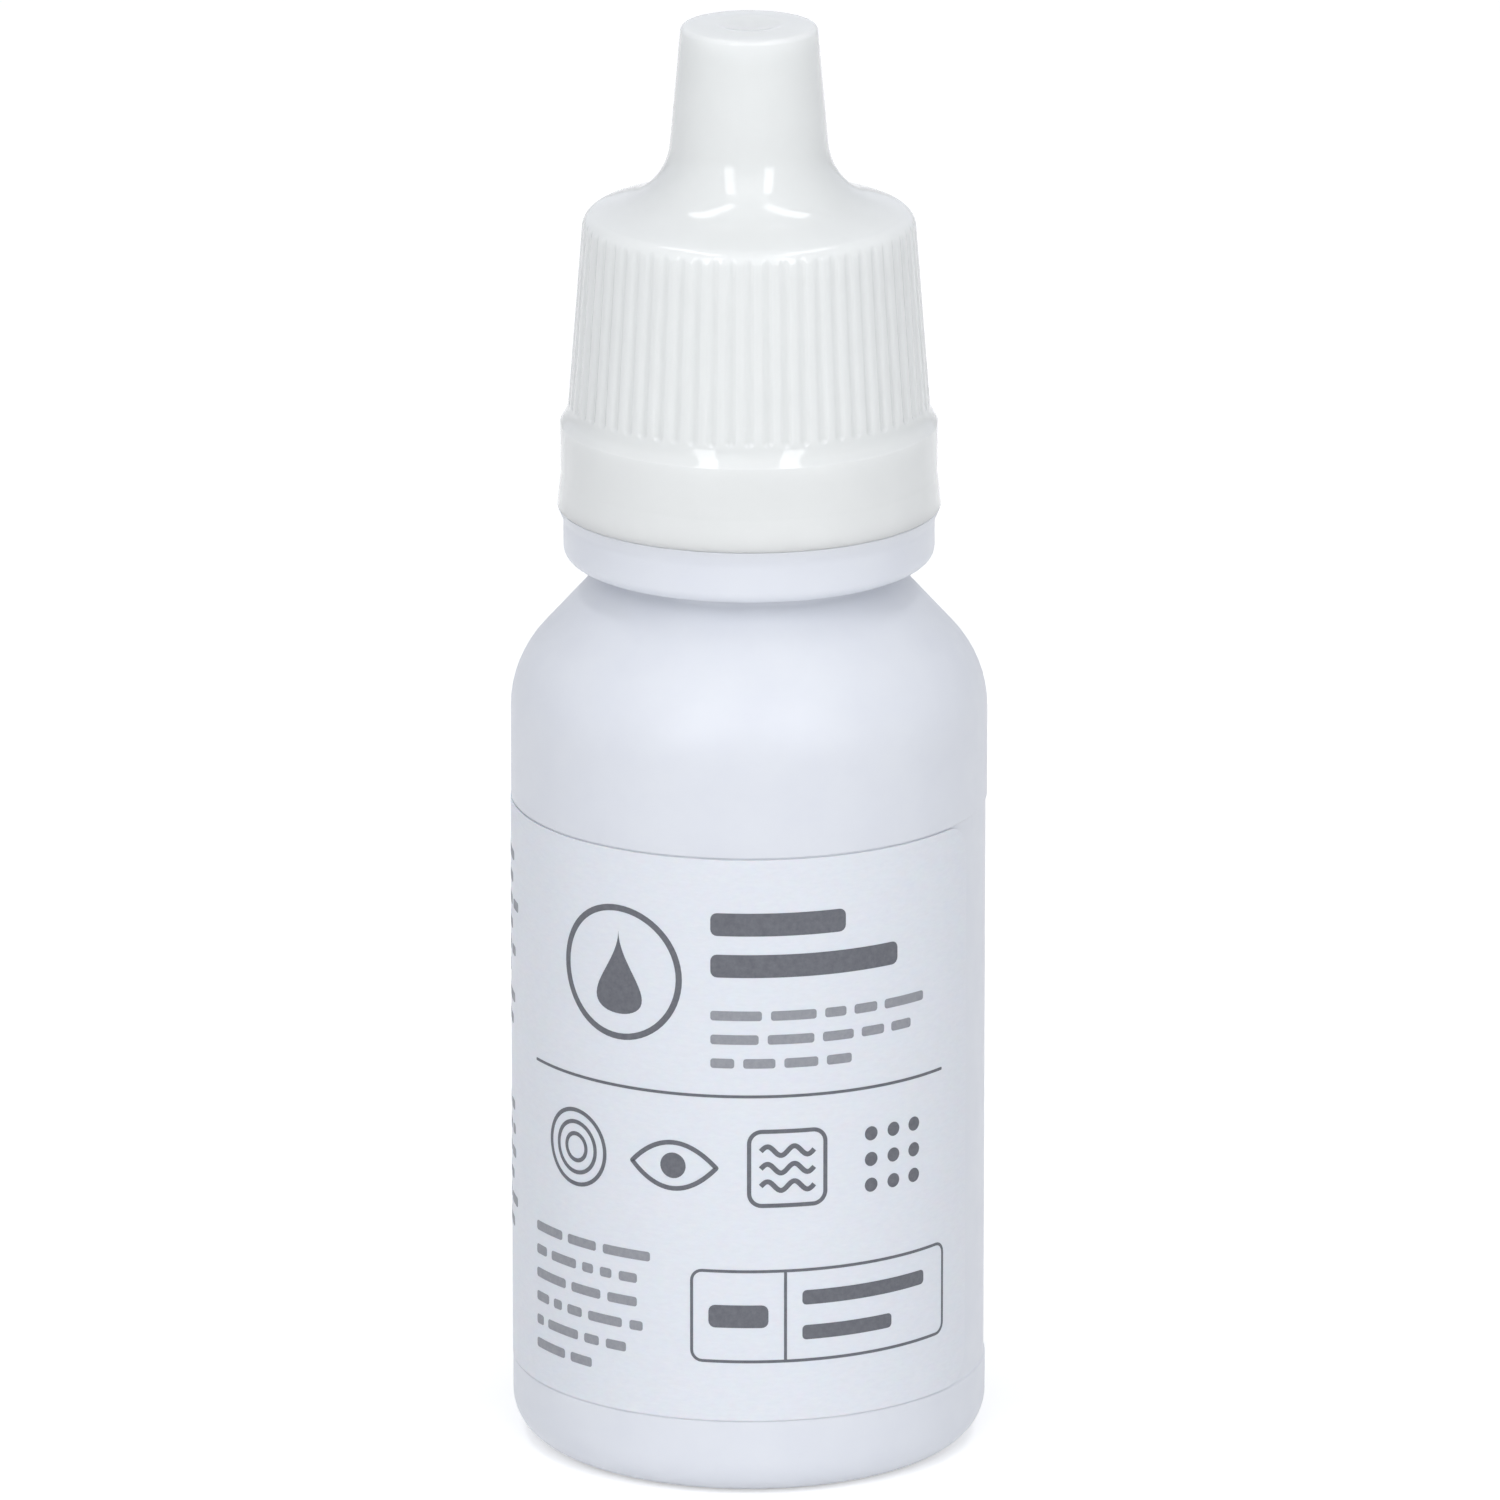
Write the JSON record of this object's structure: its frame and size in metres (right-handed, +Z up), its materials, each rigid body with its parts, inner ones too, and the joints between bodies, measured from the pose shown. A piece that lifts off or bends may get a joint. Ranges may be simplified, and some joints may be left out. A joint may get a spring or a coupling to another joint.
{
  "type": "eye drop bottle",
  "caption": "Small round squeeze bottle for eye drops: dropper nozzle pressed into a threaded neck, under a fluted screw cap with a spire, a tamper ring and a wrap-round label.",
  "frame": {"origin": "centre of the base, on the plane that the bottle stands on", "axes": "+Z up along the bottle's axis, towards the cap's tip; the printed front of the label faces -Y"},
  "size_m": [0.0223, 0.0224, 0.0681],
  "materials": {
    "bottle_plastic": "satin, slightly translucent cool white polyethylene",
    "dropper_plastic": "satin natural polyethylene, milky",
    "ring_plastic": "moulded cool white polyethylene, semi-gloss",
    "cap_plastic": "moulded neutral white polyethylene, glossy",
    "label_film": "white self-adhesive film, satin, with grey print"
  },
  "bodies": {
    "bottle": {"bottle": "bottle_plastic", "dropper_insert": "dropper_plastic", "label": "label_film"},
    "tamper_ring": {"tamper_ring": "ring_plastic"},
    "screw_cap": {"screw_cap": "cap_plastic"}
  },
  "joints": [
    {"name": "cap_turn", "type": "hinge", "parent": "bottle", "child": "tamper_ring", "pos_m": [0, 0, 0.0439], "axis": [0, 0, 1], "range_deg": [0, 2880]},
    {"name": "cap_lift", "type": "slide", "parent": "tamper_ring", "child": "screw_cap", "axis": [0, 0, 1], "range_m": [0, 0.024]}
  ],
  "couplings": [
    {"joint": "cap_lift", "follows": "cap_turn", "m_per_rad": 0.00047746}
  ]
}
